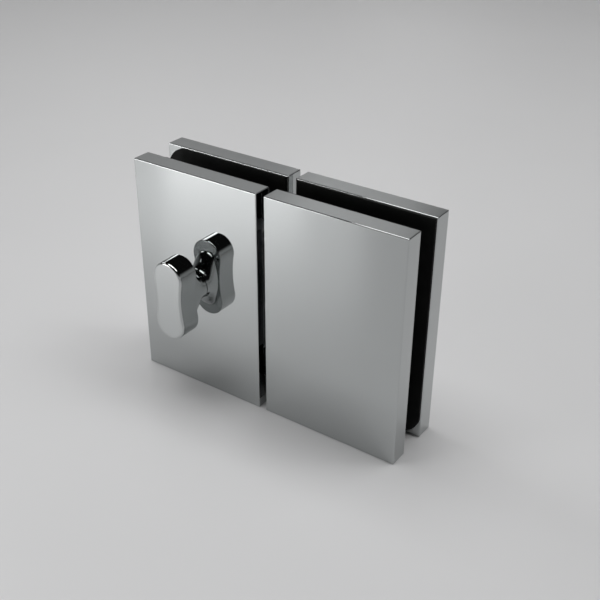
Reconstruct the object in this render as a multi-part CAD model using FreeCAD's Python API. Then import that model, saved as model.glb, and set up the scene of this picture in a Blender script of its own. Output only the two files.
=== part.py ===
import FreeCAD, Part
import math
import os

os.makedirs("parts", exist_ok=True)

# Privacy latch for two glass door leaves that meet edge to edge.
# Lengths are millimetres and angles are degrees.
# X runs across both clamps, Y from the thumbturn side to the release side, Z up.
# Depths along Y are counted from the middle of the glass while the parts are made.

# Cover plates
plate_width = 56.5
plate_height = 90.0
plate_thickness = 7.8
plate_chamfer = 0.35
clamp_gap = 3.2

# Glass and its gaskets
glass_thickness = 10.0
gasket_thickness = 0.75
gasket_inset = 0.4
gasket_corner_radius = 9.0
gasket_cut_clearance = 0.5

# Clearances
journal_clearance = 0.05
slide_clearance = 0.15
square_clearance = 0.03
end_clearance = 0.2

# Thumbturn head and neck
axis_from_plate_edge = 29.3
head_lobe_radius = 6.7
head_lobe_rise = 9.2
head_waist_half_width = 5.85
head_thickness = 8.9
head_front_fillet = 0.9
head_back_fillet = 0.5
neck_length = 6.9
neck_root_half_height = 11.6
neck_root_squareness = 2.8
neck_straight_share = 0.15
collar_radius = 5.6
journal_radius = 3.6
set_screw_radius = 1.5
set_screw_length = 4.0
set_screw_from_head = 2.6

# Spindle, bushes and release turn
spindle_square = 4.0
spindle_in_head = 5.0
bush_wall = 2.0
bush_flange_width = 1.8
bush_flange_thickness = 1.0
bush_cover = 1.5
release_head_radius = 8.0
release_head_thickness = 2.5
release_slot_width = 2.0
release_slot_depth = 1.3
release_spindle_cover = 2.0
rose_radius = 12.0
rose_spigot_radius = 9.5

# Pinion and rack
gear_module = 1.0
pinion_teeth = 12
pressure_angle = 25.0
gear_backlash = 0.16
pinion_hub_radius = 4.4
rack_teeth = 6
rack_back_height = 5.25
turn_angle = 90.0

# Bolt
bolt_height = 14.0
bolt_setback = 0.6
bolt_nose_fillet = 0.8
bolt_stop_gap = 0.5

# Latch case
case_setback = 1.0
case_height = 50.0
case_floor = 2.1
case_wall = 2.0
case_screw_radius = 1.25
case_screw_length = 6.0
case_screw_edge = 3.0

# Detent under the bolt
detent_ball_radius = 1.5
detent_bore_clearance = 0.1
detent_notch_depth = 0.6
detent_from_wall = 2.4
detent_plug_length = 6.0
spring_wire = 0.36
spring_turns = 7

# Keeper
strike_thickness = 1.2
strike_height = 44.0
strike_side_gap = 0.3
keeper_width = 34.0
pocket_side_clearance = 0.6
pocket_height_clearance = 1.5
pocket_end_clearance = 2.5
strike_screw_radius = 1.5
strike_screw_length = 8.0
strike_screw_wall = 1.3

# Clamp screws
clamp_screw_radius = 3.0
clamp_screw_hole_clearance = 0.2
clamp_screw_skin = 2.0
clamp_screw_tip_gap = 0.5
clamp_screw_margin = 11.5
keeper_screw_margin = 8.0
clamp_screw_edge = 5.5
head_to_shank = 1.9
hex_to_shank = 0.72
hex_depth_to_shank = 0.8

# Sizes that follow
half_gap = clamp_gap / 2
half_slot = glass_thickness / 2 + gasket_thickness
face_depth = half_slot + plate_thickness
axis_x = -(half_gap + axis_from_plate_edge)
axis_z = plate_height / 2
pitch_radius = gear_module * pinion_teeth / 2
tip_radius = pitch_radius + gear_module
root_radius = pitch_radius - 1.25 * gear_module
tooth_pitch = math.pi * gear_module
bolt_travel = pitch_radius * math.radians(turn_angle)
cavity_half_depth = half_slot - case_floor
bolt_half_depth = cavity_half_depth - slide_clearance
bolt_front = -(half_gap + bolt_setback)
bolt_bottom = axis_z - bolt_height / 2
bolt_top = axis_z + bolt_height / 2
pitch_line = axis_z + pitch_radius
rack_root = pitch_line + 1.25 * gear_module
arm_top = rack_root + rack_back_height
case_right = -(half_gap + case_setback)
cavity_right = case_right - case_wall
cavity_bottom = min(bolt_bottom, axis_z - tip_radius) - slide_clearance
cavity_top = arm_top + slide_clearance
rack_right_tooth = axis_x + 1.5 * tooth_pitch
rack_left = rack_right_tooth - (rack_teeth - 0.5) * tooth_pitch
bolt_head_left = axis_x + tip_radius + bolt_stop_gap
shoulder_right = cavity_right - bolt_travel - bolt_stop_gap
cavity_left = rack_left - bolt_stop_gap
case_left = cavity_left - case_wall
case_bottom = axis_z - case_height / 2
case_top = axis_z + case_height / 2
detent_x = cavity_right - detent_from_wall
detent_bore_radius = detent_ball_radius + detent_bore_clearance
detent_ball_z = bolt_bottom - journal_clearance - detent_ball_radius
detent_plug_top = case_bottom + detent_plug_length
journal_hole = journal_radius + 2 * journal_clearance
neck_root_half_width = head_waist_half_width - head_back_fillet
bush_bore = journal_radius + journal_clearance
bush_radius = bush_bore + bush_wall
bush_flange_radius = bush_radius + bush_flange_width
bush_end = face_depth - bush_cover
rose_bore = release_head_radius + 2 * journal_clearance
rose_thickness = release_head_thickness + 2 * journal_clearance
spindle_hole = spindle_square + 2 * square_clearance
keeper_left = half_gap + case_setback
keeper_block_left = keeper_left + strike_thickness
keeper_right = keeper_left + keeper_width
pocket_half_depth = bolt_half_depth + pocket_side_clearance
pocket_half_height = bolt_height / 2 + pocket_height_clearance
pocket_end = bolt_front + bolt_travel + pocket_end_clearance
clamp_screw_hole = clamp_screw_radius + clamp_screw_hole_clearance
clamp_screw_tip = -(face_depth - clamp_screw_skin - clamp_screw_tip_gap)
clamp_screw_rises = (case_bottom + clamp_screw_edge, case_top - clamp_screw_edge)
latch_screw_columns = (case_left + clamp_screw_margin, case_right - clamp_screw_margin)
keeper_screw_columns = (keeper_left + keeper_screw_margin, keeper_right - keeper_screw_margin)

# The part's own frame stands on the plates, midway between the thumbturn's face and the release rose.
knob_reach = face_depth + neck_length + head_thickness
release_reach = face_depth + rose_thickness
frame_shift = (knob_reach - release_reach) / 2


def vec(x, y, z):
    """A point or a direction."""
    return FreeCAD.Vector(x, y, z)


def block(x, y, z):
    """A box between three pairs of low and high coordinates."""
    return Part.makeBox(x[1] - x[0], y[1] - y[0], z[1] - z[0], vec(x[0], y[0], z[0]))


def rod_y(x, z, y, radius):
    """A cylinder along Y between two depths."""
    return Part.makeCylinder(radius, y[1] - y[0], vec(x, y[0], z), vec(0, 1, 0))


def square_y(x, z, y, side):
    """A square bar along Y between two depths."""
    return block((x - side / 2, x + side / 2), y, (z - side / 2, z + side / 2))


def countersunk(start, direction, length, radius, clearance=0.0):
    """A countersunk screw's body from its head's face, or the hole for it when it has clearance."""
    head_radius = radius * head_to_shank
    head_depth = head_radius - radius
    shank = Part.makeCylinder(radius + clearance, length, start, direction)
    head = Part.makeCone(head_radius + clearance, radius + clearance, head_depth, start, direction)
    return shank.fuse(head).removeSplitter()


def hex_socket(start, direction, radius):
    """The socket of a screw, cut from its head's face."""
    corner = radius * hex_to_shank / math.cos(math.radians(30))
    side = direction.cross(vec(0, 0, 1))
    if side.Length < 0.5:
        side = vec(1, 0, 0)
    turn = FreeCAD.Rotation(direction, 60)
    points = [side.normalize() * corner]
    for _ in range(6):
        points.append(turn.multVec(points[-1]))
    face = Part.Face(Part.makePolygon([start + p for p in points[:6] + points[:1]]))
    return face.extrude(direction * (radius * hex_depth_to_shank))


def socket_screw(start, direction, length, radius):
    """A countersunk screw with a hexagon socket."""
    return countersunk(start, direction, length, radius).cut(hex_socket(start, direction, radius))


def export(name, *shapes):
    """Write one node in the part's own frame, as one solid or a group of separate solids."""
    moved = []
    for shape in shapes:
        for solid in shape.Solids:
            copy = solid.copy()
            copy.translate(vec(0, frame_shift, 0))
            moved.append(copy)
    result = moved[0] if len(moved) == 1 else Part.makeCompound(moved)
    result.exportStep("parts/" + name + ".step")
    volume = sum(s.Volume for s in moved)
    print("%-24s %2d solid(s) %10.2f mm3 valid %s" % (name, len(moved), volume, result.isValid()))


# Cover plates
def cover_plate(left, near, far):
    """A square-edged plate with every edge broken by a small chamfer."""
    plate = block((left, left + plate_width), (near, far), (0, plate_height))
    return plate.makeChamfer(plate_chamfer, plate.Edges)


def screw_points(columns):
    """The clamp screws' places in one clamp."""
    return [(x, z) for x in columns for z in clamp_screw_rises]


def front_plate(left, columns):
    """The thumbturn side's plate, with blind threaded holes from behind."""
    plate = cover_plate(left, -face_depth, -half_slot)
    for x, z in screw_points(columns):
        plate = plate.cut(rod_y(x, z, (-face_depth + clamp_screw_skin, -half_slot), clamp_screw_radius))
    return plate


def back_plate(left, columns):
    """The release side's plate, with countersunk holes through it."""
    plate = cover_plate(left, half_slot, face_depth)
    for x, z in screw_points(columns):
        start = vec(x, face_depth, z)
        hole = countersunk(start, vec(0, -1, 0), plate_thickness, clamp_screw_radius, clamp_screw_hole_clearance)
        plate = plate.cut(hole)
    return plate


def bush(sign):
    """A flanged nylon bush that lines a cover plate round the spindle's journal."""
    inner = sign * half_slot
    outer = sign * bush_end
    step = inner + sign * bush_flange_thickness
    body = rod_y(axis_x, axis_z, sorted((inner, outer)), bush_radius)
    flange = rod_y(axis_x, axis_z, sorted((inner, step)), bush_flange_radius)
    bore = rod_y(axis_x, axis_z, sorted((inner, outer)), bush_bore)
    return body.fuse(flange).cut(bore).removeSplitter()


def bush_seat(sign):
    """The stepped hole that a bush fills, with a smaller mouth at the plate's outer face."""
    inner = sign * half_slot
    outer = sign * bush_end
    step = inner + sign * bush_flange_thickness
    body = rod_y(axis_x, axis_z, sorted((inner, outer)), bush_radius)
    flange = rod_y(axis_x, axis_z, sorted((inner, step)), bush_flange_radius)
    mouth = rod_y(axis_x, axis_z, sorted((inner, sign * face_depth)), journal_hole)
    return body.fuse(flange).fuse(mouth)


# Gaskets
def gasket(outer_x, inner_x, notch_x, round_top, depths):
    """A gasket cut round the body in the glass notch, with one outer corner rounded away."""
    low = gasket_inset
    high = plate_height - gasket_inset
    sheet = block(sorted((outer_x, inner_x)), depths, (low, high))
    corner_z = high if round_top else low
    corner = []
    for edge in sheet.Edges:
        a, b = edge.Vertexes[0].Point, edge.Vertexes[1].Point
        along_y = abs(a.x - b.x) < 1e-6 and abs(a.z - b.z) < 1e-6
        if along_y and abs(a.x - outer_x) < 1e-6 and abs(a.z - corner_z) < 1e-6:
            corner.append(edge)
    sheet = sheet.makeFillet(gasket_corner_radius, corner)
    notch_z = (case_bottom - gasket_cut_clearance, case_top + gasket_cut_clearance)
    return sheet.cut(block(sorted((notch_x, inner_x)), depths, notch_z))


# Thumbturn
def peanut_wire(depth):
    """The head's outline: two round lobes joined by hollow sides."""
    reach = head_waist_half_width
    hollow = (reach**2 + head_lobe_rise**2 - head_lobe_radius**2) / (2 * (head_lobe_radius - reach))
    centre = reach + hollow
    lean = math.atan2(head_lobe_rise, centre)
    lobe_x = head_lobe_radius * math.cos(lean)
    lobe_z = head_lobe_rise - head_lobe_radius * math.sin(lean)
    top = head_lobe_rise + head_lobe_radius

    def at(x, z):
        return vec(axis_x + x, depth, axis_z + z)

    arcs = [
        Part.Arc(at(lobe_x, lobe_z), at(0, top), at(-lobe_x, lobe_z)),
        Part.Arc(at(-lobe_x, lobe_z), at(-reach, 0), at(-lobe_x, -lobe_z)),
        Part.Arc(at(-lobe_x, -lobe_z), at(0, -top), at(lobe_x, -lobe_z)),
        Part.Arc(at(lobe_x, -lobe_z), at(reach, 0), at(lobe_x, lobe_z)),
    ]
    return Part.Wire([arc.toShape() for arc in arcs])


def neck_wire(depth, half_width, half_height, squareness):
    """A closed oval round the thumbturn's axis: an ellipse at squareness 2, and boxier above that."""
    points = []
    for i in range(32):
        across = math.cos(2 * math.pi * i / 32)
        up = math.sin(2 * math.pi * i / 32)
        x = math.copysign(half_width * abs(across) ** (2 / squareness), across)
        z = math.copysign(half_height * abs(up) ** (2 / squareness), up)
        points.append(vec(axis_x + x, depth, axis_z + z))
    curve = Part.BSplineCurve()
    curve.interpolate(points, True)
    return Part.Wire([curve.toShape()])


def thumbturn_head():
    """The waisted head, with its front rim rounded more than its back rim."""
    front = -knob_reach
    head = Part.Face(peanut_wire(front)).extrude(vec(0, head_thickness, 0))
    front_rim = [e for e in head.Edges if e.BoundBox.YMax < front + 1e-6]
    head = head.makeFillet(head_front_fillet, front_rim)
    back = front + head_thickness
    back_rim = [e for e in head.Edges if e.BoundBox.YMin > back - 1e-6]
    return head.makeFillet(head_back_fillet, back_rim)


def thumbturn_neck():
    """The neck, which swells from a round collar just off the plate to a tall oval under the head."""
    root = -(face_depth + neck_length)
    reach = neck_length - end_clearance
    steps = 8
    wires = []
    for i in range(steps + 1):
        share = i / steps
        swell = (1 + math.cos(math.pi * min(share / (1 - neck_straight_share), 1))) / 2
        half_width = collar_radius + (neck_root_half_width - collar_radius) * swell
        half_height = collar_radius + (neck_root_half_height - collar_radius) * swell
        squareness = 2 + (neck_root_squareness - 2) * swell
        wires.append(neck_wire(root + share * reach, half_width, half_height, squareness))
    return Part.makeLoft(wires, True, False)


def thumbturn_knob():
    """Head, neck and journal in one casting, bored for the square spindle and its set screw."""
    journal_depths = (-(face_depth + end_clearance), -(half_slot + end_clearance))
    journal = rod_y(axis_x, axis_z, journal_depths, journal_radius)
    knob = thumbturn_head().fuse(thumbturn_neck()).fuse(journal)
    knob = knob.cut(square_y(axis_x, axis_z, (spindle_front, -half_slot), spindle_hole))
    return knob.cut(set_screw_body(neck_root_half_height))


def set_screw_body(length):
    """The set screw's cylinder, from the spindle's flat downwards."""
    top = vec(axis_x, set_screw_depth, axis_z - spindle_square / 2)
    return Part.makeCylinder(set_screw_radius, length, top, vec(0, 0, -1))


def knob_set_screw():
    """The screw that pins the knob to the spindle from below."""
    low = vec(axis_x, set_screw_depth, axis_z - spindle_square / 2 - set_screw_length)
    return set_screw_body(set_screw_length).cut(hex_socket(low, vec(0, 0, 1), set_screw_radius))


spindle_front = -(face_depth + neck_length + spindle_in_head)
spindle_back = release_reach - release_slot_depth - release_spindle_cover
set_screw_depth = -(face_depth + neck_length - set_screw_from_head)


def release_turn():
    """The coin-slotted disc that turns the spindle from the other side."""
    head_front = release_reach - release_head_thickness
    head = rod_y(axis_x, axis_z, (head_front, release_reach), release_head_radius)
    shank = rod_y(axis_x, axis_z, (half_slot + end_clearance, head_front), journal_radius)
    slot_x = (axis_x - release_slot_width / 2, axis_x + release_slot_width / 2)
    slot_z = (axis_z - release_head_radius, axis_z + release_head_radius)
    slot = block(slot_x, (release_reach - release_slot_depth, release_reach), slot_z)
    bore = square_y(axis_x, axis_z, (half_slot, spindle_back), spindle_hole)
    return head.fuse(shank).cut(slot).cut(bore)


def release_rose():
    """The ring round the release turn, with a spigot that closes over the bush."""
    flange = rod_y(axis_x, axis_z, (face_depth, release_reach), rose_radius)
    rose = flange.fuse(rose_spigot())
    rose = rose.cut(rod_y(axis_x, axis_z, (face_depth, release_reach), rose_bore))
    return rose.cut(rod_y(axis_x, axis_z, (bush_end, release_reach), journal_hole))


def rose_spigot():
    """The disc let into the plate."""
    return rod_y(axis_x, axis_z, (bush_end, face_depth), rose_spigot_radius)


# Pinion and rack
def involute_angle(radius, base_radius):
    """How far an involute has turned by the time it reaches a radius."""
    roll = math.sqrt(max((radius / base_radius) ** 2 - 1, 0))
    return roll - math.atan(roll)


def pinion_face(depth):
    """The pinion's outline, with a tooth pointing straight up."""
    base_radius = pitch_radius * math.cos(math.radians(pressure_angle))
    half_pitch_tooth = math.pi / (2 * pinion_teeth) - gear_backlash / (4 * pitch_radius)
    half_base_tooth = half_pitch_tooth + involute_angle(pitch_radius, base_radius)
    start_radius = max(base_radius, root_radius)

    def at(radius, angle):
        return vec(axis_x + radius * math.sin(angle), depth, axis_z + radius * math.cos(angle))

    edges = []
    for tooth in range(pinion_teeth):
        middle = 2 * math.pi * tooth / pinion_teeth
        next_middle = 2 * math.pi * (tooth + 1) / pinion_teeth
        flank = []
        for step in range(5):
            radius = start_radius + (tip_radius - start_radius) * step / 4
            flank.append((radius, half_base_tooth - involute_angle(radius, base_radius)))
        rising = [at(r, middle - a) for r, a in flank]
        falling = [at(r, middle + a) for r, a in reversed(flank)]
        foot_left = at(root_radius, middle - half_base_tooth)
        foot_right = at(root_radius, middle + half_base_tooth)
        next_foot = at(root_radius, next_middle - half_base_tooth)
        edges.append(Part.LineSegment(foot_left, rising[0]).toShape())
        edges.append(spline(rising))
        edges.append(Part.Arc(rising[-1], at(tip_radius, middle), falling[0]).toShape())
        edges.append(spline(falling))
        edges.append(Part.LineSegment(falling[-1], foot_right).toShape())
        gap_middle = at(root_radius, (middle + next_middle) / 2)
        edges.append(Part.Arc(foot_right, gap_middle, next_foot).toShape())
    return Part.Face(Part.Wire(edges))


def spline(points):
    """A smooth curve through a few points."""
    curve = Part.BSplineCurve()
    curve.interpolate(points)
    return curve.toShape()


def pinion():
    """The pinion with a journal on each side and a square bore."""
    half_width = bolt_half_depth - slide_clearance
    hub_reach = half_slot - end_clearance
    gear = pinion_face(-half_width).extrude(vec(0, 2 * half_width, 0))
    hub = rod_y(axis_x, axis_z, (-hub_reach, hub_reach), pinion_hub_radius)
    bore = square_y(axis_x, axis_z, (-hub_reach, hub_reach), spindle_hole)
    return gear.fuse(hub).cut(bore)


def rack_tooth(middle):
    """One rack tooth that points down to the pinion."""
    slope = math.tan(math.radians(pressure_angle))
    half_pitch = tooth_pitch / 4 - gear_backlash / 4
    half_tip = half_pitch - gear_module * slope
    root_rise = rack_root - pitch_line
    half_root = half_pitch + root_rise * slope
    tip = pitch_line - gear_module
    corners = [(-half_root, rack_root), (-half_tip, tip), (half_tip, tip), (half_root, rack_root)]
    points = [vec(middle + x, -bolt_half_depth, z) for x, z in corners]
    return Part.Face(Part.makePolygon(points + points[:1])).extrude(vec(0, 2 * bolt_half_depth, 0))


# Bolt
def latch_bolt():
    """The bolt's head, the shoulder that stops it and the rack arm above the pinion."""
    depth = (-bolt_half_depth, bolt_half_depth)
    head = block((bolt_head_left, bolt_front), depth, (bolt_bottom, bolt_top))
    nose = [e for e in head.Edges if abs(e.CenterOfMass.x - bolt_front) < 1e-6]
    head = head.makeFillet(bolt_nose_fillet, nose)
    shoulder = block((bolt_head_left, shoulder_right), depth, (axis_z, arm_top))
    arm = block((rack_left, bolt_head_left), depth, (rack_root, arm_top))
    bolt = head.fuse(shoulder).fuse(arm)
    for tooth in range(rack_teeth):
        bolt = bolt.fuse(rack_tooth(rack_right_tooth - tooth * tooth_pitch))
    notch_radius = detent_bore_radius
    notch_z = bolt_bottom + detent_notch_depth - notch_radius
    for notch_x in (detent_x, detent_x - bolt_travel):
        bolt = bolt.cut(rod_y(notch_x, notch_z, depth, notch_radius))
    return bolt.removeSplitter()


# Latch case
def case_screw_points():
    """The four screws round the case's cavity."""
    left = case_left + case_screw_edge
    right = case_right - case_screw_edge
    low = cavity_bottom - case_screw_edge
    high = cavity_top + case_screw_edge
    beside_pinion = axis_x + tip_radius
    return [(left, low), (left, high), (right, high), (beside_pinion, low)]


def through_holes(body, columns, depths):
    """Clear holes for the clamp screws."""
    for x, z in screw_points(columns):
        body = body.cut(rod_y(x, z, depths, clamp_screw_hole))
    return body


def latch_case():
    """The tray that carries the bolt and the pinion, open to the release side."""
    depths = (-half_slot, cavity_half_depth)
    case = block((case_left, case_right), depths, (case_bottom, case_top))
    cavity_depths = (-cavity_half_depth, cavity_half_depth)
    case = case.cut(block((cavity_left, cavity_right), cavity_depths, (cavity_bottom, cavity_top)))
    window = (cavity_bottom, bolt_top + slide_clearance)
    case = case.cut(block((cavity_right, case_right), cavity_depths, window))
    case = case.cut(rod_y(axis_x, axis_z, (-half_slot, 0), pinion_hub_radius + journal_clearance))
    case = through_holes(case, latch_screw_columns, depths)
    case = case.cut(detent_bore())
    for x, z in case_screw_points():
        case = case.cut(rod_y(x, z, (half_slot - case_screw_length, cavity_half_depth), case_screw_radius))
    return case


def case_cover():
    """The lid over the tray."""
    depths = (cavity_half_depth, half_slot)
    cover = block((case_left, case_right), depths, (case_bottom, case_top))
    cover = cover.cut(rod_y(axis_x, axis_z, depths, pinion_hub_radius + journal_clearance))
    cover = through_holes(cover, latch_screw_columns, depths)
    for x, z in case_screw_points():
        cover = cover.cut(countersunk(vec(x, half_slot, z), vec(0, -1, 0), case_floor, case_screw_radius))
    return cover


def case_cover_screws():
    """Small countersunk screws, flush with the lid."""
    out = vec(0, -1, 0)
    return [socket_screw(vec(x, half_slot, z), out, case_screw_length, case_screw_radius)
            for x, z in case_screw_points()]


# Detent
def detent_bore():
    """The hole that holds ball, spring and plug, from the cavity down through the case."""
    height = cavity_bottom - case_bottom
    return Part.makeCylinder(detent_bore_radius, height, vec(detent_x, 0, case_bottom))


def detent_plug():
    """The plug screw that closes the bore from below."""
    low = vec(detent_x, 0, case_bottom)
    plug = Part.makeCylinder(detent_bore_radius, detent_plug_length, low)
    return plug.cut(hex_socket(low, vec(0, 0, 1), detent_bore_radius))


def bend_point(start, tangent, end):
    """The middle of the arc that leaves a point along a tangent and ends at another point."""
    chord = end - start
    along = chord * (1 / chord.Length)
    side = tangent - along * tangent.dot(along)
    if side.Length < 1e-9:
        return start + chord * 0.5
    angle = tangent.getAngle(chord)
    return start + chord * 0.5 + side.normalize() * (chord.Length / 2 * math.tan(angle / 2))


def biarc(start, start_tangent, end, end_tangent):
    """Two arcs that meet smoothly and follow both tangents."""
    chord = end - start
    both = start_tangent + end_tangent
    spread = 2 * (1 - start_tangent.dot(end_tangent))
    reach = (math.sqrt(chord.dot(both) ** 2 + spread * chord.dot(chord)) - chord.dot(both)) / spread
    joint = (start + end + (start_tangent - end_tangent) * reach) * 0.5
    first = Part.Arc(start, bend_point(start, start_tangent, joint), joint)
    second = Part.Arc(joint, bend_point(end, end_tangent * -1, joint), end)
    return [first.toShape(), second.toShape()]


def detent_spring():
    """The coil spring between plug and ball, as one unbroken wire."""
    coil_radius = detent_bore_radius - detent_bore_clearance - spring_wire / 2
    low = detent_plug_top + spring_wire / 2 + detent_bore_clearance / 2
    ball_seat = detent_ball_z - math.sqrt((detent_ball_radius + spring_wire / 2) ** 2 - coil_radius**2)
    rise = ball_seat - detent_bore_clearance / 2 - low
    climb = rise / (2 * math.pi * spring_turns)
    speed = math.hypot(coil_radius, climb)

    def point(angle):
        return vec(detent_x + coil_radius * math.cos(angle), coil_radius * math.sin(angle), low + climb * angle)

    def tangent(angle):
        return vec(-coil_radius * math.sin(angle), coil_radius * math.cos(angle), climb) * (1 / speed)

    edges = []
    quarter = math.pi / 2
    for i in range(4 * spring_turns):
        a, b = i * quarter, (i + 1) * quarter
        edges += biarc(point(a), tangent(a), point(b), tangent(b))
    section = Part.Wire([Part.Circle(point(0), tangent(0), spring_wire / 2).toShape()])
    pipe = Part.BRepOffsetAPI.MakePipeShell(Part.Wire(edges))
    pipe.add(section)
    pipe.build()
    pipe.makeSolid()
    print("spring gap between turns %.2f mm" % (2 * math.pi * climb - spring_wire))
    return pipe.shape()


# Keeper
def keeper_block():
    """The block in the second clamp, with the pocket that the bolt enters."""
    depths = (-half_slot, half_slot)
    body = block((keeper_block_left, keeper_right), depths, (case_bottom, case_top))
    body = through_holes(body, keeper_screw_columns, depths)
    body = body.cut(bolt_pocket(keeper_block_left, pocket_end))
    for z in strike_screw_heights():
        start = vec(keeper_left, 0, z)
        body = body.cut(countersunk(start, vec(1, 0, 0), strike_screw_length, strike_screw_radius))
    return body


def bolt_pocket(left, right):
    """The space that the bolt enters."""
    depths = (-pocket_half_depth, pocket_half_depth)
    return block((left, right), depths, (axis_z - pocket_half_height, axis_z + pocket_half_height))


def strike_screw_heights():
    """Above and below the pocket, a wall short of the clamp screws' holes."""
    clamp_hole_edge = clamp_screw_rises[1] - axis_z - clamp_screw_hole
    rise = clamp_hole_edge - strike_screw_wall - strike_screw_radius
    return (axis_z - rise, axis_z + rise)


def strike_plate():
    """The thin steel plate round the pocket's mouth."""
    half_depth = half_slot - strike_side_gap
    heights = (axis_z - strike_height / 2, axis_z + strike_height / 2)
    plate = block((keeper_left, keeper_block_left), (-half_depth, half_depth), heights)
    plate = plate.cut(bolt_pocket(keeper_left, keeper_block_left))
    for z in strike_screw_heights():
        plate = plate.cut(countersunk(vec(keeper_left, 0, z), vec(1, 0, 0), strike_thickness, strike_screw_radius))
    return plate


def strike_screws():
    """Two countersunk screws into the keeper block."""
    return [socket_screw(vec(keeper_left, 0, z), vec(1, 0, 0), strike_screw_length, strike_screw_radius)
            for z in strike_screw_heights()]


def clamp_screws(columns):
    """Countersunk screws that draw a clamp's two plates together."""
    length = face_depth - clamp_screw_tip
    out = vec(0, -1, 0)
    return [socket_screw(vec(x, face_depth, z), out, length, clamp_screw_radius)
            for x, z in screw_points(columns)]


def build():
    """Make and write every node."""
    latch_left = -(half_gap + plate_width)
    latch_outer = latch_left + gasket_inset
    keeper_outer = half_gap + plate_width - gasket_inset
    latch_notch = case_left - gasket_cut_clearance
    keeper_notch = keeper_right + gasket_cut_clearance
    front_depths = (-half_slot, -glass_thickness / 2)
    back_depths = (glass_thickness / 2, half_slot)

    export("front_plate_latch", front_plate(latch_left, latch_screw_columns).cut(bush_seat(-1)))
    back = back_plate(latch_left, latch_screw_columns).cut(bush_seat(1)).cut(rose_spigot())
    export("back_plate_latch", back)
    export("front_plate_keeper", front_plate(half_gap, keeper_screw_columns))
    export("back_plate_keeper", back_plate(half_gap, keeper_screw_columns))
    export("gasket_front_latch", gasket(latch_outer, case_right, latch_notch, True, front_depths))
    export("gasket_back_latch", gasket(latch_outer, case_right, latch_notch, True, back_depths))
    export("gasket_front_keeper", gasket(keeper_outer, keeper_left, keeper_notch, False, front_depths))
    export("gasket_back_keeper", gasket(keeper_outer, keeper_left, keeper_notch, False, back_depths))
    export("latch_case", latch_case())
    export("case_cover", case_cover())
    export("case_cover_screws", *case_cover_screws())
    export("latch_bolt", latch_bolt())
    export("pinion", pinion())
    export("spindle", square_y(axis_x, axis_z, (spindle_front, spindle_back), spindle_square))
    export("thumbturn_knob", thumbturn_knob())
    export("knob_set_screw", knob_set_screw())
    export("knob_bush", bush(-1))
    export("release_bush", bush(1))
    export("release_rose", release_rose())
    export("release_turn", release_turn())
    export("detent_ball", Part.makeSphere(detent_ball_radius, vec(detent_x, 0, detent_ball_z)))
    export("detent_spring", detent_spring())
    export("detent_plug", detent_plug())
    export("keeper_block", keeper_block())
    export("strike_plate", strike_plate())
    export("strike_screws", *strike_screws())
    export("clamp_screws_latch", *clamp_screws(latch_screw_columns))
    export("clamp_screws_keeper", *clamp_screws(keeper_screw_columns))


build()
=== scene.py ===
import logging
import math
from dataclasses import dataclass, field
from enum import Enum
from typing import Iterable, Optional, Sequence

import bmesh
import bpy
from mathutils import Matrix, Vector


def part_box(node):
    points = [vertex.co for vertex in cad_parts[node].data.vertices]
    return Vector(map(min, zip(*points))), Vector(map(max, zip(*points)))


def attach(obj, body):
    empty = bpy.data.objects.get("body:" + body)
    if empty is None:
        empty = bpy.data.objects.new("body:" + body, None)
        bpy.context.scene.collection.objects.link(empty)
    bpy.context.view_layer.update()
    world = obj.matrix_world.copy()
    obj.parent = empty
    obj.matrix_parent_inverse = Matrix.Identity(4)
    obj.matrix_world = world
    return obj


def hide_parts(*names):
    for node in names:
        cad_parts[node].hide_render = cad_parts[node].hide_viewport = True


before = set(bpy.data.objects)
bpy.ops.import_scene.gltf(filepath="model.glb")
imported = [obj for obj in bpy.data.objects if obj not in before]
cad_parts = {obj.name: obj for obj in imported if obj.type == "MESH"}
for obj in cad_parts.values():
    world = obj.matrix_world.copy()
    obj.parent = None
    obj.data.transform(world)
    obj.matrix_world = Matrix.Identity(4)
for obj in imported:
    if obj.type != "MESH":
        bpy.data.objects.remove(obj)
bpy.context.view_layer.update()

MM = 0.001
ALONG_Y = Matrix.Rotation(math.radians(-90), 4, "X")
LOG = logging.getLogger("privacy_latch")

# Points closer than this, in metres, are one point.
SAME_POINT = 1e-6
# Nearly all of a noise texture's values lie between these.
NOISE_RANGE = (0.3, 0.7)
# How light a colour's darker patches are.
DIM = 0.985
# The power that makes a squared-off ring a true ellipse.
ELLIPSE = 2.0

Triple = tuple[float, float, float]
Socket = bpy.types.NodeSocket
Mesh = bmesh.types.BMesh


class Body(Enum):
    """The rigid bodies that new pieces ride on."""

    CLAMPS = "clamps"
    THUMBTURN = "thumbturn"


class Side(Enum):
    """The two faces of the door."""

    FRONT = "front"
    BACK = "back"


# Finishes


@dataclass(frozen=True)
class Pattern:
    """A soft random pattern: its patches' size, its finer layers, and how it is squeezed."""

    patch: float
    detail: float = 3.0
    squeeze: Triple = (1.0, 1.0, 1.0)


@dataclass(frozen=True)
class Grain:
    """A fine pattern that raises the surface."""

    pattern: Pattern
    height: float
    strength: float


def dimmed(colour: Triple) -> Triple:
    """Give a slightly darker colour.

    Args:
        colour: The colour.

    Returns:
        The darker one.
    """
    return tuple(part * DIM for part in colour)


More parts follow.
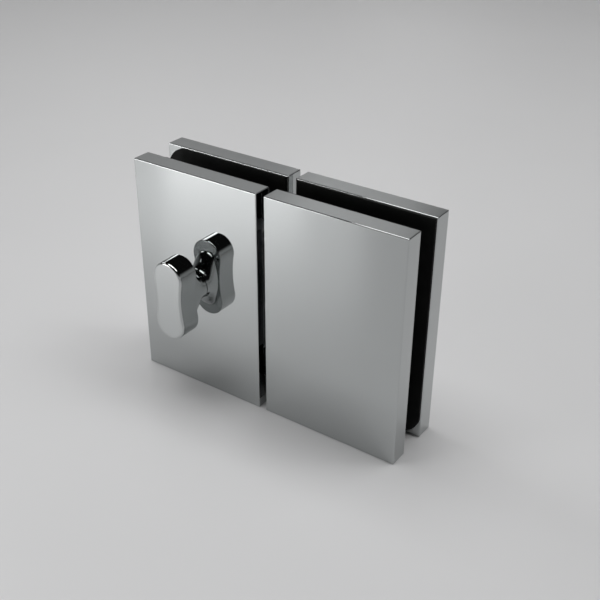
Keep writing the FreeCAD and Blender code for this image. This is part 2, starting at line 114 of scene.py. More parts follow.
class Shading:
    """A material's node tree, with short ways to add to it."""

    def __init__(self, name: str) -> None:
        """Start a material with one Principled surface.

        Args:
            name: The material's name.
        """
        self.material = bpy.data.materials.new(name)
        self.material.use_nodes = True
        self.tree = self.material.node_tree
        self.surface = self.tree.nodes["Principled BSDF"]

    def set(self, **sockets: float) -> None:
        """Set constants on the surface.

        Args:
            **sockets: The values, with underscores for spaces in the sockets' names.
        """
        for name, value in sockets.items():
            self.surface.inputs[name.replace("_", " ")].default_value = value

    def noise(self, pattern: Pattern) -> Socket:
        """Lay a pattern on object coordinates.

        Args:
            pattern: The pattern.

        Returns:
            The value socket.
        """
        coordinates = self.tree.nodes.new("ShaderNodeTexCoord")
        mapping = self.tree.nodes.new("ShaderNodeMapping")
        mapping.inputs["Scale"].default_value = pattern.squeeze
        noise = self.tree.nodes.new("ShaderNodeTexNoise")
        noise.inputs["Scale"].default_value = 1.0 / pattern.patch
        noise.inputs["Detail"].default_value = pattern.detail
        self.tree.links.new(coordinates.outputs["Object"], mapping.inputs["Vector"])
        self.tree.links.new(mapping.outputs["Vector"], noise.inputs["Vector"])
        return noise.outputs["Fac"]

    def span(self, pattern: Pattern, low: float, high: float) -> Socket:
        """Stretch a pattern between two values.

        Args:
            pattern: The pattern.
            low: What its lower part becomes.
            high: What its upper part becomes.

        Returns:
            The value socket.
        """
        node = self.tree.nodes.new("ShaderNodeMapRange")
        node.inputs["From Min"].default_value = NOISE_RANGE[0]
        node.inputs["From Max"].default_value = NOISE_RANGE[1]
        node.inputs["To Min"].default_value = low
        node.inputs["To Max"].default_value = high
        self.tree.links.new(self.noise(pattern), node.inputs["Value"])
        return node.outputs["Result"]

    def roughness(self, pattern: Pattern, smoothest: float, roughest: float) -> None:
        """Let a pattern vary the surface's roughness.

        Args:
            pattern: The pattern.
            smoothest: The lowest roughness.
            roughest: The highest roughness.
        """
        value = self.span(pattern, smoothest, roughest)
        self.tree.links.new(value, self.surface.inputs["Roughness"])

    def colour(self, pattern: Pattern, dark: Triple, light: Triple) -> None:
        """Let a pattern vary the surface's colour.

        Args:
            pattern: The pattern.
            dark: The colour of its lower part.
            light: The colour of its upper part.
        """
        mix = self.tree.nodes.new("ShaderNodeMix")
        mix.data_type = "RGBA"
        mix.inputs["A"].default_value = (*dark, 1.0)
        mix.inputs["B"].default_value = (*light, 1.0)
        self.tree.links.new(self.span(pattern, 0.0, 1.0), mix.inputs["Factor"])
        self.tree.links.new(mix.outputs["Result"], self.surface.inputs["Base Color"])

    def bump(self, grain: Grain) -> None:
        """Raise the surface by a grain.

        Args:
            grain: The grain.
        """
        node = self.tree.nodes.new("ShaderNodeBump")
        node.inputs["Distance"].default_value = grain.height
        node.inputs["Strength"].default_value = grain.strength
        self.tree.links.new(self.noise(grain.pattern), node.inputs["Height"])
        self.tree.links.new(node.outputs["Normal"], self.surface.inputs["Normal"])


@dataclass(frozen=True)
class Recipe:
    """A finish whose colour and gloss vary softly, with or without a grain."""

    slot: str
    dark: Triple
    light: Triple
    tone: Pattern
    smoothest: float
    roughest: float
    haze: Pattern
    grain: Optional[Grain] = None
    metallic: float = 1.0
    specular: float = 0.5

    def build(self) -> bpy.types.Material:
        """Make the material.

        Returns:
            The material.
        """
        shading = Shading(self.slot)
        shading.set(Metallic=self.metallic, Specular_IOR_Level=self.specular)
        shading.colour(self.tone, self.dark, self.light)
        shading.roughness(self.haze, self.smoothest, self.roughest)
        if self.grain:
            shading.bump(self.grain)
        return shading.material


CHROME_TINT: Triple = (0.49, 0.505, 0.505)
BRUSHED_ALONG_X = Pattern(patch=0.12 * MM, detail=2.0, squeeze=(0.03, 1.0, 1.0))


class Finish(Enum):
    """The finishes of the latch, each with its recipe."""

    # Bright plating with a faint haze from wiping.
    CHROME = Recipe(
        slot="polished_chrome",
        dark=dimmed(CHROME_TINT),
        light=CHROME_TINT,
        tone=Pattern(patch=35 * MM, detail=2.0),
        smoothest=0.015,
        roughest=0.04,
        haze=Pattern(patch=14 * MM, detail=4.0),
    )
    # Black sheet rubber.
    RUBBER = Recipe(
        slot="gasket_rubber",
        dark=(0.004, 0.004, 0.004),
        light=(0.010, 0.011, 0.010),
        tone=Pattern(patch=6 * MM),
        smoothest=0.55,
        roughest=0.75,
        haze=Pattern(patch=3 * MM),
        grain=Grain(Pattern(patch=0.35 * MM, detail=2.0), height=0.04 * MM, strength=0.5),
        metallic=0.0,
        specular=0.2,
    )
    # Die-cast zinc with a dull plated skin.
    ZINC = Recipe(
        slot="zinc_casting",
        dark=(0.30, 0.30, 0.31),
        light=(0.42, 0.42, 0.43),
        tone=Pattern(patch=5 * MM, detail=5.0),
        smoothest=0.36,
        roughest=0.52,
        haze=Pattern(patch=2 * MM),
        grain=Grain(Pattern(patch=0.5 * MM), height=0.03 * MM, strength=0.4),
    )
    # Stainless steel brushed along the bolt's travel.
    STAINLESS = Recipe(
        slot="stainless",
        dark=(0.47, 0.47, 0.48),
        light=(0.60, 0.60, 0.61),
        tone=BRUSHED_ALONG_X,
        smoothest=0.20,
        roughest=0.36,
        haze=BRUSHED_ALONG_X,
        grain=Grain(BRUSHED_ALONG_X, height=0.01 * MM, strength=0.4),
    )
    # Bright zinc plate.
    SCREW = Recipe(
        slot="plated_screw",
        dark=(0.40, 0.40, 0.41),
        light=(0.58, 0.58, 0.60),
        tone=Pattern(patch=1.5 * MM),
        smoothest=0.12,
        roughest=0.26,
        haze=Pattern(patch=0.8 * MM),
    )
    # Machined brass, a little dulled by grease.
    BRASS = Recipe(
        slot="gear_brass",
        dark=(0.52, 0.36, 0.13),
        light=(0.74, 0.55, 0.24),
        tone=Pattern(patch=3 * MM, detail=4.0),
        smoothest=0.24,
        roughest=0.42,
        haze=Pattern(patch=1 * MM),
    )
    # Black moulded nylon.
    NYLON = Recipe(
        slot="bush_nylon",
        dark=(0.015, 0.015, 0.016),
        light=(0.035, 0.035, 0.037),
        tone=Pattern(patch=2 * MM),
        smoothest=0.38,
        roughest=0.55,
        haze=Pattern(patch=1 * MM),
        metallic=0.0,
    )


class FinishShop:
    """Makes each finish once and puts it on pieces."""

    def __init__(self) -> None:
        """Make every finish."""
        self.materials = {finish: finish.value.build() for finish in Finish}

    def dress_node(self, node: str, finish: Finish) -> None:
        """Give a CAD node a finish.

        Args:
            node: The node's name.
            finish: What it is finished in.
        """
        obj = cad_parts[node]
        if not obj.material_slots:
            obj.data.materials.append(self.materials[finish])
        for slot in obj.material_slots:
            slot.material = self.materials[finish]
        LOG.info("node %s is finished in %s", node, finish.value.slot)

    def mount(
        self, obj: bpy.types.Object, finish: Finish, body: Body, nodes: Sequence[str]
    ) -> None:
        """Finish a piece, put it on its body and let it stand for CAD nodes.

        Args:
            obj: The piece.
            finish: What it is finished in.
            body: The body that it rides on.
            nodes: The CAD nodes that it replaces.
        """
        obj.data.materials.clear()
        obj.data.materials.append(self.materials[finish])
        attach(obj, body.value)
        if nodes:
            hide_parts(*nodes)
        LOG.info("piece %s rides on %s with %d faces", obj.name, body.value, len(obj.data.polygons))


# Mesh work


def to_object(bm: Mesh, name: str) -> bpy.types.Object:
    """Turn a finished bmesh into an object at the origin.

    Args:
        bm: The mesh, which is freed.
        name: The object's name.

    Returns:
        The object, linked to the scene.
    """
    mesh = bpy.data.meshes.new(name)
    bm.to_mesh(mesh)
    bm.free()
    obj = bpy.data.objects.new(name, mesh)
    bpy.context.scene.collection.objects.link(obj)
    return obj


def drop(obj: bpy.types.Object) -> None:
    """Remove an object and its mesh.

    Args:
        obj: The object.
    """
    mesh = obj.data
    bpy.data.objects.remove(obj)
    bpy.data.meshes.remove(mesh)


def smooth(obj: bpy.types.Object, sharp_from: float = 40.0) -> None:
    """Shade a piece smooth, with flat faces kept truly flat.

    Args:
        obj: The piece.
        sharp_from: The angle in degrees from which an edge stays sharp.
    """
    obj.data.shade_smooth()
    obj.data.set_sharp_from_angle(angle=math.radians(sharp_from))
    weighted = obj.modifiers.new("flat faces first", "WEIGHTED_NORMAL")
    weighted.weight = 100
    weighted.keep_sharp = True


def carve(obj: bpy.types.Object, cutters: Iterable[Mesh]) -> None:
    """Cut shapes out of a piece and drop them.

    Args:
        obj: The piece.
        cutters: The shapes, which are freed.
    """
    tools = [to_object(cutter, "cutter") for cutter in cutters]
    for tool in tools:
        cut = obj.modifiers.new("cut", "BOOLEAN")
        cut.object = tool
        cut.operation = "DIFFERENCE"
        cut.solver = "EXACT"
    graph = bpy.context.evaluated_depsgraph_get()
    mesh = bpy.data.meshes.new_from_object(obj.evaluated_get(graph))
    obj.modifiers.clear()
    old, obj.data = obj.data, mesh
    bpy.data.meshes.remove(old)
    obj.data.name = obj.name
    for tool in tools:
        drop(tool)


def bevel_edges(
    bm: Mesh, edges: Iterable[bmesh.types.BMEdge], width: float, segments: int
) -> None:
    """Round some edges.

    Args:
        bm: The mesh.
        edges: The edges.
        width: How far the round reaches from each edge, in metres.
        segments: How many faces go round it.
    """
    bmesh.ops.bevel(bm, geom=list(edges), offset=width, offset_type="OFFSET", affect="EDGES",
                    segments=segments, profile=0.5, material=-1, clamp_overlap=True)


def bevel_corner(bm: Mesh, corner: bmesh.types.BMVert, width: float, segments: int) -> None:
    """Round a corner of a flat outline.

    Args:
        bm: The mesh.
        corner: The corner.
        width: How far the round reaches from it, in metres.
        segments: How many steps go round it.
    """
    bmesh.ops.bevel(bm, geom=[corner], offset=width, offset_type="OFFSET", affect="VERTICES",
                    segments=segments, profile=0.5, material=-1)


def block(low: Vector, high: Vector) -> Mesh:
    """Make a box between two corners.

    Args:
        low: The lowest corner.
        high: The highest corner.

    Returns:
        The mesh.
    """
    bm = bmesh.new()
    bmesh.ops.create_cube(bm, size=1.0)
    bmesh.ops.scale(bm, vec=high - low, verts=bm.verts)
    bmesh.ops.translate(bm, vec=(low + high) / 2, verts=bm.verts)
    return bm


def bar(
    centre: Vector, reach: tuple[float, float], radii: tuple[float, float], sides: int
) -> Mesh:
    """Make a round, tapered or many-sided bar along Y.

    Args:
        centre: A point on its axis.
        reach: Where it starts and ends along Y.
        radii: Its radius at the start and at the end.
        sides: How many sides it has.

    Returns:
        The mesh.
    """
    bm = bmesh.new()
    middle = Matrix.Translation((centre.x, (reach[0] + reach[1]) / 2, centre.z))
    bmesh.ops.create_cone(bm, cap_ends=True, cap_tris=False, segments=sides, radius1=radii[0],
                          radius2=radii[1], depth=reach[1] - reach[0], matrix=middle @ ALONG_Y)
    bmesh.ops.recalc_face_normals(bm, faces=bm.faces)
    return bm


@dataclass(frozen=True)
class ProfilePoint:
    """A corner of a turned profile."""

    radius: float
    depth: float
    round_by: float = 0.0


def lathe(
    axis: Vector,
    profile: Sequence[ProfilePoint],
    closed: bool,
    steps: int = 128,
    round_steps: int = 5,
) -> Mesh:
    """Turn a profile about an axis along Y.

    Args:
        axis: A point on the axis.
        profile: The profile's corners, in order.
        closed: Whether the last corner joins the first.
        steps: How many steps make the full turn.
        round_steps: How many steps go round a rounded corner.

    Returns:
        The mesh.
    """
    bm = bmesh.new()
    corners = [bm.verts.new((axis.x + p.radius, p.depth, axis.z)) for p in profile]
    pairs = list(zip(corners, corners[1:]))
    if closed:
        pairs.append((corners[-1], corners[0]))
    for pair in pairs:
        bm.edges.new(pair)
    for corner, point in zip(corners, profile):
        if point.round_by:
            bevel_corner(bm, corner, point.round_by, round_steps)
    bmesh.ops.spin(bm, geom=list(bm.verts) + list(bm.edges), cent=axis, axis=(0, 1, 0),
                   dvec=(0, 0, 0), angle=math.tau, steps=steps, use_merge=True)
    bmesh.ops.remove_doubles(bm, verts=bm.verts, dist=SAME_POINT)
    bmesh.ops.recalc_face_normals(bm, faces=bm.faces)
    return bm


# The latch's pieces


@dataclass(frozen=True)
class Bore:
    """A round hole along Y, straight or tapered."""

    x: float
    z: float
    reach: tuple[float, float]
    radii: tuple[float, float]
    sides: int = 72

    def cutter(self) -> Mesh:
        """Make the shape that cuts it.

        Returns:
            The shape.
        """
        return bar(Vector((self.x, 0, self.z)), self.reach, self.radii, self.sides)


@dataclass
class CoverPlate:
    """A polished plate with softly rounded edges."""

    node: str
    bores: Sequence[Bore] = ()
    edge_round: float = 0.35 * MM
    edge_steps: int = 4

    def build(self, shop: FinishShop) -> None:
        """Make, cut and dress the plate.

        Args:
            shop: The finishes.
        """
        low, high = (Vector(corner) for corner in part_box(self.node))
        bm = block(low, high)
        bevel_edges(bm, bm.edges, self.edge_round, self.edge_steps)
        obj = to_object(bm, self.node.replace("plate", "cover"))
        if self.bores:
            carve(obj, [bore.cutter() for bore in self.bores])
        smooth(obj)
        shop.mount(obj, Finish.CHROME, Body.CLAMPS, [self.node])


@dataclass
class Countersink:
    """The sizes that a clamp screw and its hole share."""

    shank: float = 3.0 * MM
    head: float = 5.7 * MM
    clearance: float = 0.2 * MM
    socket: float = 2.5 * MM
    socket_sides: int = 6
    socket_depth: float = 2.4 * MM
    rim_round: float = 0.2 * MM
    tip_round: float = 0.4 * MM
    steps: int = 64

    @property
    def cone(self) -> float:
        """The head's depth."""
        return self.head - self.shank

    def bores(self, x: float, z: float, face: float, inner: float) -> list[Bore]:
        """Give the hole through a back plate.

        Args:
            x: The screw's place across.
            z: The screw's height.
            face: The plate's outer face along Y.
            inner: The plate's inner face along Y.

        Returns:
            The straight and the tapered part.
        """
        gap = self.clearance
        loose = self.shank + gap
        return [
            Bore(x, z, (inner - MM, face + MM), (loose, loose)),
            Bore(x, z, (face - self.cone, face + gap), (loose, self.head + 2 * gap)),
        ]

    def screw(self, x: float, z: float, face: float, tip: float) -> bpy.types.Object:
        """Make one screw.

        Args:
            x: Its place across.
            z: Its height.
            face: Its head's face along Y.
            tip: Its tip along Y.

        Returns:
            The screw.
        """
        profile = [
            ProfilePoint(0.0, face),
            ProfilePoint(self.head, face, self.rim_round),
            ProfilePoint(self.shank, face - self.cone),
            ProfilePoint(self.shank, tip, self.tip_round),
            ProfilePoint(0.0, tip),
        ]
        axis = Vector((x, 0, z))
        obj = to_object(lathe(axis, profile, False, self.steps), "clamp_screw")
        reach = (face - self.socket_depth, face + MM)
        carve(obj, [bar(axis, reach, (self.socket, self.socket), self.socket_sides)])
        return obj


@dataclass
class ClampScrews:
    """The four screws of one clamp, as one piece."""

    node: str
    sizes: Countersink
    sharp_from: float = 35.0

    def places(self) -> list[tuple[float, float]]:
        """Give each screw's place across and its height.

        Returns:
            The places.
        """
        low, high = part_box(self.node)
        inset = self.sizes.head
        columns = (low[0] + inset, high[0] - inset)
        rows = (low[2] + inset, high[2] - inset)
        return [(x, z) for x in columns for z in rows]

    def build(self, shop: FinishShop) -> None:
        """Make and dress the screws.

        Args:
            shop: The finishes.
        """
        low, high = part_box(self.node)
        bm = bmesh.new()
        for x, z in self.places():
            screw = self.sizes.screw(x, z, high[1], low[1])
            bm.from_mesh(screw.data)
            drop(screw)
        obj = to_object(bm, self.node.replace("clamp_screws", "countersunk_screws"))
        smooth(obj, self.sharp_from)
        shop.mount(obj, Finish.SCREW, Body.CLAMPS, [self.node])


@dataclass
class Thumbturn:
    """The waisted head, its swelling neck and its journal."""

    node: str = "thumbturn_knob"
    lobe_radius: float = 6.7 * MM
    lobe_rise: float = 9.2 * MM
    lobe_steps: int = 64
    waist: float = 5.85 * MM
    waist_steps: int = 24
    head_thickness: float = 8.9 * MM
    front_round: float = 0.9 * MM
    front_steps: int = 8
    back_round: float = 0.5 * MM
    back_steps: int = 6
    neck_length: float = 6.9 * MM
    neck_width: float = 5.35 * MM
    neck_height: float = 11.6 * MM
    neck_squareness: float = 2.8
    neck_rings: int = 24
    neck_sides: int = 96
    collar_radius: float = 5.6 * MM
    collar_gap: float = 0.2 * MM
    straight_share: float = 0.15
    journal_radius: float = 3.6 * MM
    sharp_from: float = 50.0
    axis: Vector = field(init=False)
    end: float = field(init=False)

    def __post_init__(self) -> None:
        """Find the middle of the head's front, and where the journal ends."""
        low, high = (Vector(corner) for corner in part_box(self.node))
        self.axis = Vector(((low.x + high.x) / 2, low.y, (low.z + high.z) / 2))
        self.end = high.y

    def build(self, shop: FinishShop) -> None:
        """Make and dress the thumbturn.

        Args:
            shop: The finishes.
        """
        bm = bmesh.new()
        self.add_head(bm)
        self.add_neck(bm)
        obj = to_object(bm, "thumbturn")
        smooth(obj, self.sharp_from)
        shop.mount(obj, Finish.CHROME, Body.THUMBTURN, [self.node])

    def add_outline(self, bm: Mesh) -> None:
        """Add the head's outline: two lobes and two hollows between them.

        Args:
            bm: The mesh to add to.
        """
        reach, rise, radius = self.waist, self.lobe_rise, self.lobe_radius
        hollow = (reach**2 + rise**2 - radius**2) / (2 * (radius - reach))
        lean = math.atan2(rise, reach + hollow)
        lobe, waist = math.pi + 2 * lean, 2 * lean
        across, up = Vector((reach + hollow, 0, 0)), Vector((0, 0, rise))
        start = Vector((radius * math.cos(lean), 0, -radius * math.sin(lean)))
        corner = bm.verts.new(self.axis + up + start)
        arcs = (
            (up, -lobe, self.lobe_steps),
            (-across, waist, self.waist_steps),
            (-up, -lobe, self.lobe_steps),
            (across, waist, self.waist_steps),
        )
        for centre, angle, steps in arcs:
            swept = bmesh.ops.spin(bm, geom=[corner], cent=self.axis + centre, axis=(0, 1, 0),
                                   dvec=(0, 0, 0), angle=angle, steps=steps, use_merge=False)
            corner = next(v for v in swept["geom_last"] if isinstance(v, bmesh.types.BMVert))
        bmesh.ops.remove_doubles(bm, verts=bm.verts, dist=SAME_POINT)

    def add_head(self, bm: Mesh) -> None:
        """Add the head, with both rims rounded.

        Args:
            bm: The mesh to add to.
        """
        self.add_outline(bm)
        face = bmesh.ops.edgeloop_fill(bm, edges=bm.edges)["faces"]
        moved = bmesh.ops.extrude_face_region(bm, geom=face, use_keep_orig=True)["geom"]
        verts = [v for v in moved if isinstance(v, bmesh.types.BMVert)]
        bmesh.ops.translate(bm, vec=(0, self.head_thickness, 0), verts=verts)
        bmesh.ops.recalc_face_normals(bm, faces=bm.faces)
        caps = [cap for cap in bm.faces if len(cap.verts) > 4]
        front, back = sorted(caps, key=lambda cap: cap.calc_center_median().y)
        front_rim, back_rim = list(front.edges), list(back.edges)
        bevel_edges(bm, front_rim, self.front_round, self.front_steps)
        bevel_edges(bm, back_rim, self.back_round, self.back_steps)

    def sections(self) -> list[tuple[float, float, float, float]]:
        """Give the sections of neck and journal, from the head to the journal's end.

        Returns:
            Each one's place along Y, half width, half height and squareness.
        """
        root = self.axis.y + self.head_thickness
        foot = root + self.neck_length - self.collar_gap
        oblong = (self.neck_width, self.neck_height, self.neck_squareness)
        journal = (self.journal_radius, self.journal_radius, ELLIPSE)
        found = [(root - self.back_round / 2, *oblong)]
        for i in range(self.neck_rings + 1):
            share = i / self.neck_rings
            swell = (1 + math.cos(math.pi * min(share / (1 - self.straight_share), 1))) / 2
            width = self.collar_radius + (self.neck_width - self.collar_radius) * swell
            height = self.collar_radius + (self.neck_height - self.collar_radius) * swell
            squareness = ELLIPSE + (self.neck_squareness - ELLIPSE) * swell
            found.append((root + share * (foot - root), width, height, squareness))
        return found + [(foot, *journal), (self.end, *journal)]

    def add_neck(self, bm: Mesh) -> None:
        """Add the neck and the journal behind the head.

        Args:
            bm: The mesh to add to.
        """
        loops = []
        for depth, width, height, squareness in self.sections():
            place = Matrix.Translation((self.axis.x, depth, self.axis.z)) @ ALONG_Y
            made = bmesh.ops.create_circle(bm, cap_ends=False, segments=self.neck_sides,
                                           radius=1.0, matrix=place)
            power = ELLIPSE / squareness
            for vert in made["verts"]:
                across, up = vert.co.x - self.axis.x, vert.co.z - self.axis.z
                vert.co.x = self.axis.x + width * math.copysign(abs(across) ** power, across)
                vert.co.z = self.axis.z + height * math.copysign(abs(up) ** power, up)
            loops.append(list(dict.fromkeys(e for v in made["verts"] for e in v.link_edges)))
        skin = []
        for near, far in zip(loops, loops[1:]):
            skin += bmesh.ops.bridge_loops(bm, edges=near + far)["faces"]
        for end in (loops[0], loops[-1]):
            skin += bmesh.ops.edgeloop_fill(bm, edges=end)["faces"]
        bmesh.ops.recalc_face_normals(bm, faces=skin)


@dataclass
class Release:
    """The coin-slotted release on the back and the rose round it."""

    turn_node: str = "release_turn"
    rose_node: str = "release_rose"
    head_thickness: float = 2.5 * MM
    shank: float = 3.6 * MM
    slot_width: float = 2.0 * MM
    slot_depth: float = 1.3 * MM
    rose_bore: float = 8.1 * MM
    spigot: float = 9.5 * MM
    spigot_bore: float = 3.7 * MM
    rose_height: float = 2.6 * MM
    edge_round: float = 0.5 * MM

    def build(self, shop: FinishShop) -> None:
        """Make and dress both pieces.

        Args:
            shop: The finishes.
        """
        self.build_turn(shop)
        self.build_rose(shop)

    def build_turn(self, shop: FinishShop) -> None:
        """Make and dress the disc with its coin slot.

        Args:
            shop: The finishes.
        """
        low, high = (Vector(corner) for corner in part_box(self.turn_node))
        axis = Vector(((low.x + high.x) / 2, 0, (low.z + high.z) / 2))
        radius = (high.x - low.x) / 2
        back = high.y - self.head_thickness
        profile = [
            ProfilePoint(0.0, high.y),
            ProfilePoint(radius, high.y, self.edge_round),
            ProfilePoint(radius, back),
            ProfilePoint(self.shank, back),
            ProfilePoint(self.shank, low.y),
            ProfilePoint(0.0, low.y),
        ]
        obj = to_object(lathe(axis, profile, False), "coin_release")
        half = Vector((self.slot_width / 2, 0, radius + MM))
        floor = Vector((0, high.y - self.slot_depth, 0))
        roof = Vector((0, high.y + MM, 0))
        carve(obj, [block(axis - half + floor, axis + half + roof)])
        smooth(obj)
        shop.mount(obj, Finish.CHROME, Body.THUMBTURN, [self.turn_node])

    def build_rose(self, shop: FinishShop) -> None:
        """Make and dress the ring.

        Args:
            shop: The finishes.
        """
        low, high = (Vector(corner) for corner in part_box(self.rose_node))
        axis = Vector(((low.x + high.x) / 2, 0, (low.z + high.z) / 2))
        radius = (high.x - low.x) / 2
        seat = high.y - self.rose_height
        profile = [
            ProfilePoint(self.rose_bore, high.y, self.edge_round / 2),
            ProfilePoint(radius, high.y, self.edge_round),
            ProfilePoint(radius, seat),
            ProfilePoint(self.spigot, seat),
            ProfilePoint(self.spigot, low.y),
            ProfilePoint(self.spigot_bore, low.y),
            ProfilePoint(self.spigot_bore, seat),
            ProfilePoint(self.rose_bore, seat),
        ]
        obj = to_object(lathe(axis, profile, True), "rose_ring")
        smooth(obj)
        shop.mount(obj, Finish.CHROME, Body.CLAMPS, [self.rose_node])


@dataclass
class Clamps:
    """Both clamps' plates with their screws."""

    screw_sizes: Countersink
    blind_skin: float = 2.0 * MM
    mouth: float = 3.7 * MM
    bush_cover: float = 1.5 * MM
    flange_rim: float = 1.8 * MM
    rose_rim: float = 2.5 * MM

    def build(self, shop: FinishShop) -> None:
        """Make and dress plates and screws.

        Args:
            shop: The finishes.
        """
        for clamp in ("latch", "keeper"):
            screws = ClampScrews("clamp_screws_" + clamp, self.screw_sizes)
            screws.build(shop)
            for side in Side:
                node = f"{side.value}_plate_{clamp}"
                bores = self.screw_bores(node, side, screws.places())
                if clamp == "latch":
                    bores += self.spindle_bores(node, side)
                CoverPlate(node, bores).build(shop)

    def screw_bores(
        self, node: str, side: Side, places: Sequence[tuple[float, float]]
    ) -> list[Bore]:
        """Give a plate's screw holes.

        Args:
            node: The plate's node.
            side: The side that it covers.
            places: The screws' places.

        Returns:
            Blind holes in front, countersunk ones behind.
        """
        low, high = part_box(node)
        radius = self.screw_sizes.shank
        bores = []
        for x, z in places:
            if side is Side.BACK:
                bores += self.screw_sizes.bores(x, z, high[1], low[1])
            else:
                reach = (low[1] + self.blind_skin, high[1] + MM)
                bores.append(Bore(x, z, reach, (radius, radius)))
        return bores

    def spindle_bores(self, node: str, side: Side) -> list[Bore]:
        """Give the stepped hole round the spindle.

        Args:
            node: The plate's node.
            side: The side that it covers.

        Returns:
            The mouth, and the seats of the bush and of the rose.
        """
        low, high = (Vector(corner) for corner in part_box(node))
        bush = "knob_bush" if side is Side.FRONT else "release_bush"
        bush_low, bush_high = (Vector(corner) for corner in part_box(bush))
        x, z = (bush_low.x + bush_high.x) / 2, (bush_low.z + bush_high.z) / 2
        flange = (bush_high.x - bush_low.x) / 2
        seat = flange - self.flange_rim
        outside, inside = low.y - MM, high.y + MM
        bores = [Bore(x, z, (outside, inside), (self.mouth, self.mouth))]
        if side is Side.FRONT:
            bores.append(Bore(x, z, (low.y + self.bush_cover, inside), (seat, seat)))
            bores.append(Bore(x, z, (high.y - MM, inside), (flange, flange)))
        else:
            rose_low, rose_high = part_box("release_rose")
            rose = (rose_high[0] - rose_low[0]) / 2 - self.rose_rim
            bores.append(Bore(x, z, (outside, high.y - self.bush_cover), (seat, seat)))
            bores.append(Bore(x, z, (outside, low.y + MM), (flange, flange)))
            bores.append(Bore(x, z, (high.y - self.bush_cover, inside), (rose, rose)))
        return bores


@dataclass(frozen=True)
class Works:
    """The CAD nodes that are shown as they are, by finish."""

    groups: tuple[tuple[Finish, tuple[str, ...]], ...] = (
        (Finish.RUBBER, ("gasket_front_latch", "gasket_back_latch", "gasket_front_keeper",
                         "gasket_back_keeper")),
        (Finish.ZINC, ("latch_case", "case_cover", "keeper_block")),
        (Finish.STAINLESS, ("latch_bolt", "spindle", "strike_plate", "detent_ball",
                            "detent_spring", "detent_plug")),
        (Finish.SCREW, ("case_cover_screws", "strike_screws", "knob_set_screw")),
        (Finish.BRASS, ("pinion",)),
        (Finish.NYLON, ("knob_bush", "release_bush")),
    )

    def dress(self, shop: FinishShop) -> None:
        """Finish every one of them.

        Args:
            shop: The finishes.
        """
        for finish, nodes in self.groups:
            for node in nodes:
                shop.dress_node(node, finish)


# The studio


@dataclass(frozen=True)
class SoftLamp:
    """A flat lamp with a soft cover, kept out of the camera's sight."""

    name: str
    place: Triple
    aim: Triple
    size: tuple[float, float]
    power: float

    def build(self) -> None:
        """Make the lamp."""
        data = bpy.data.lights.new(self.name, "AREA")
        data.shape = "RECTANGLE"
        data.size, data.size_y = self.size
        data.energy = self.power
        lamp = bpy.data.objects.new(self.name, data)
        lamp.location = self.place
        aim = Vector(self.aim) - lamp.location
        lamp.rotation_euler = aim.to_track_quat("-Z", "Y").to_euler()
        lamp.visible_camera = False
        bpy.context.scene.collection.objects.link(lamp)


@dataclass(frozen=True)
class PhotoCamera:
    """The camera, at the photograph's place, with its angles in degrees."""

    place: Triple = (179.82 * MM, -244.01 * MM, 221.68 * MM)
    azimuth: float = 34.468
    elevation: float = 30.173
    roll: float = 0.469
    lens: float = 57.0
    sensor: float = 36.0
    nearest: float = 10 * MM

    def build(self) -> None:
        """Make the camera and use it."""
        turn, rise, lean = (math.radians(v) for v in (self.azimuth, self.elevation, self.roll))
        level = Vector((math.sin(turn), -math.cos(turn), 0)) * math.cos(rise)
        back = level + Vector((0, 0, math.sin(rise)))
        right = (-back).cross(Vector((0, 0, 1))).normalized()
        up = right.cross(-back)
        leaning_right = math.cos(lean) * right + math.sin(lean) * up
        leaning_up = math.cos(lean) * up - math.sin(lean) * right
        data = bpy.data.cameras.new("photo_camera")
        data.lens = self.lens
        data.sensor_width = self.sensor
        data.clip_start = self.nearest
        camera = bpy.data.objects.new("photo_camera", data)
        axes = Matrix((leaning_right, leaning_up, back)).transposed().to_4x4()
        camera.matrix_world = Matrix.Translation(self.place) @ axes
        bpy.context.scene.collection.objects.link(camera)
        bpy.context.scene.camera = camera


@dataclass(frozen=True)
class PaperSweep:
    """Pale paper laid on the floor and up behind the latch, with a wide bend."""

    colour: Triple = (0.75, 0.75, 0.755)
    gloss: float = 0.22
    cloud: Pattern = Pattern(patch=0.15)
    half_width: float = 3.0
    depth: float = 1.8
    height: float = 6.0
    bend: float = 0.6
    bend_steps: int = 16

    def build(self) -> None:
        """Lay the paper."""
        bm = bmesh.new()
        left = -self.half_width
        front = bm.verts.new((left, left, 0.0))
        turn = bm.verts.new((left, self.depth, 0.0))
        top = bm.verts.new((left, self.depth, self.height))
        bm.edges.new((front, turn))
        bm.edges.new((turn, top))
        bevel_corner(bm, turn, self.bend, self.bend_steps)
        made = bmesh.ops.extrude_edge_only(bm, edges=bm.edges)["geom"]
        verts = [v for v in made if isinstance(v, bmesh.types.BMVert)]
        bmesh.ops.translate(bm, vec=(2 * self.half_width, 0, 0), verts=verts)
        bmesh.ops.recalc_face_normals(bm, faces=bm.faces)
        obj = to_object(bm, "paper_sweep")
        obj.data.shade_smooth()
        shading = Shading("studio_paper")
        shading.set(Roughness=self.gloss)
        shading.colour(self.cloud, dimmed(self.colour), self.colour)
        obj.data.materials.append(shading.material)


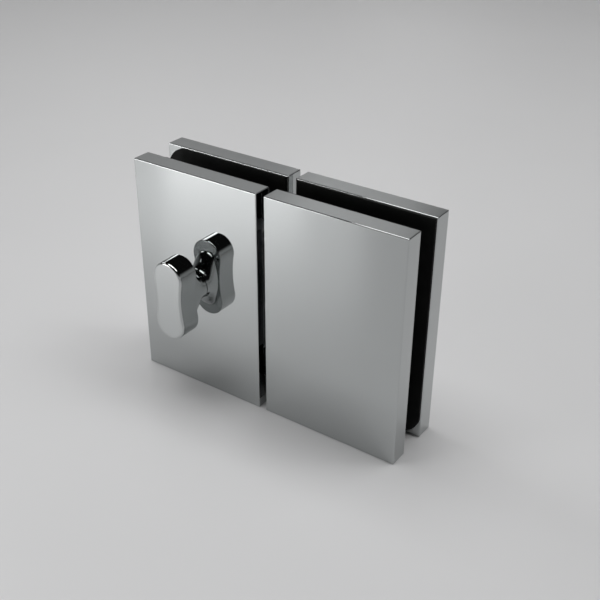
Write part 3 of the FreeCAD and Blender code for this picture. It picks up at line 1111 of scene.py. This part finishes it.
@dataclass(frozen=True)
class Room:
    """What stands beyond the paper: pale at the horizon and nearly black above.

    Only the camera, reflections and clear pieces see it. Its heights are in degrees.
    """

    horizon: float = 0.45
    ceiling: float = 0.010
    fade_from: float = 8.0
    fade_to: float = 24.0

    def build(self) -> None:
        """Make the room and use it."""
        world = bpy.data.worlds.new("room")
        world.use_nodes = True
        tree = world.node_tree
        background = tree.nodes["Background"]
        background.inputs["Color"].default_value = (1.0, 1.0, 1.0, 1.0)
        shown = self.join(tree, "MULTIPLY", self.seen(tree), self.brightness(tree))
        tree.links.new(shown, background.inputs["Strength"])
        bpy.context.scene.world = world

    def brightness(self, tree: bpy.types.NodeTree) -> Socket:
        """Give the room's brightness, which falls with the height above the horizon.

        Args:
            tree: The world's nodes.

        Returns:
            The value socket.
        """
        coordinates = tree.nodes.new("ShaderNodeTexCoord")
        parts = tree.nodes.new("ShaderNodeSeparateXYZ")
        fade = tree.nodes.new("ShaderNodeMapRange")
        fade.interpolation_type = "SMOOTHSTEP"
        fade.inputs["From Min"].default_value = math.sin(math.radians(self.fade_from))
        fade.inputs["From Max"].default_value = math.sin(math.radians(self.fade_to))
        fade.inputs["To Min"].default_value = self.horizon
        fade.inputs["To Max"].default_value = self.ceiling
        tree.links.new(coordinates.outputs["Generated"], parts.inputs["Vector"])
        tree.links.new(parts.outputs["Z"], fade.inputs["Value"])
        return fade.outputs["Result"]

    def seen(self, tree: bpy.types.NodeTree) -> Socket:
        """Give 1 for the rays that see the room and 0 for those that would light by it.

        Args:
            tree: The world's nodes.

        Returns:
            The value socket.
        """
        path = tree.nodes.new("ShaderNodeLightPath")
        seen = path.outputs["Is Camera Ray"]
        for kind in ("Is Glossy Ray", "Is Transmission Ray"):
            seen = self.join(tree, "MAXIMUM", seen, path.outputs[kind])
        return seen

    def join(
        self, tree: bpy.types.NodeTree, operation: str, first: Socket, second: Socket
    ) -> Socket:
        """Join two values.

        Args:
            tree: The world's nodes.
            operation: How they are joined.
            first: The first value.
            second: The second value.

        Returns:
            The value socket.
        """
        node = tree.nodes.new("ShaderNodeMath")
        node.operation = operation
        tree.links.new(first, node.inputs[0])
        tree.links.new(second, node.inputs[1])
        return node.outputs["Value"]


# What the front lamps look at: the thumbturn's side of the latch.
FRONT_AIM: Triple = (-0.04, -0.04, 0.03)
MIDDLE: Triple = (0.0, 0.0, 0.0)


@dataclass(frozen=True)
class Studio:
    """A pale paper sweep, soft lamps, a dim room and the camera."""

    paper: PaperSweep = PaperSweep()
    room: Room = Room()
    camera: PhotoCamera = PhotoCamera()
    lamps: tuple[SoftLamp, ...] = (
        SoftLamp("overhead_lamp", (-0.15, 0.0, 1.20), (-0.15, 0.0, 0.0), (0.80, 0.80), 7.8),
        SoftLamp("left_lamp", (-1.020, 0.089, 0.800), MIDDLE, (0.45, 0.45), 1.9),
        SoftLamp("right_lamp", (0.574, 0.209, 1.148), MIDDLE, (0.45, 0.45), 2.3),
        SoftLamp("right_rear_lamp", (0.432, 0.432, 1.148), MIDDLE, (0.45, 0.45), 1.6),
        SoftLamp("front_lamp_low", (-0.347, -0.478, 0.104), FRONT_AIM, (0.20, 0.10), 0.28),
        SoftLamp("front_lamp_left", (-0.388, -0.431, 0.155), FRONT_AIM, (0.20, 0.10), 0.23),
        SoftLamp("front_lamp_high", (-0.329, -0.453, 0.215), FRONT_AIM, (0.20, 0.10), 0.16),
        SoftLamp("backdrop_lamp", (-1.6, 0.9, 1.6), (-1.6, 1.8, 1.06), (0.60, 0.60), 6.6),
        SoftLamp("backdrop_fill_lamp", (0.6, 0.4, 1.9), (0.6, 1.8, 1.9), (0.60, 0.60), 0.8),
    )

    def build(self) -> None:
        """Set up paper, lamps, room and camera."""
        self.paper.build()
        for lamp in self.lamps:
            lamp.build()
        self.room.build()
        self.camera.build()
        bpy.context.scene.view_settings.view_transform = "Standard"
        LOG.info("studio has %d lamps", len(self.lamps))


def main() -> None:
    """Build the latch and the studio."""
    logging.basicConfig(level=logging.INFO, format="%(name)s: %(message)s")
    shop = FinishShop()
    Clamps(Countersink()).build(shop)
    Thumbturn().build(shop)
    Release().build(shop)
    Works().dress(shop)
    Studio().build()


if __name__ == "__main__":
    main()
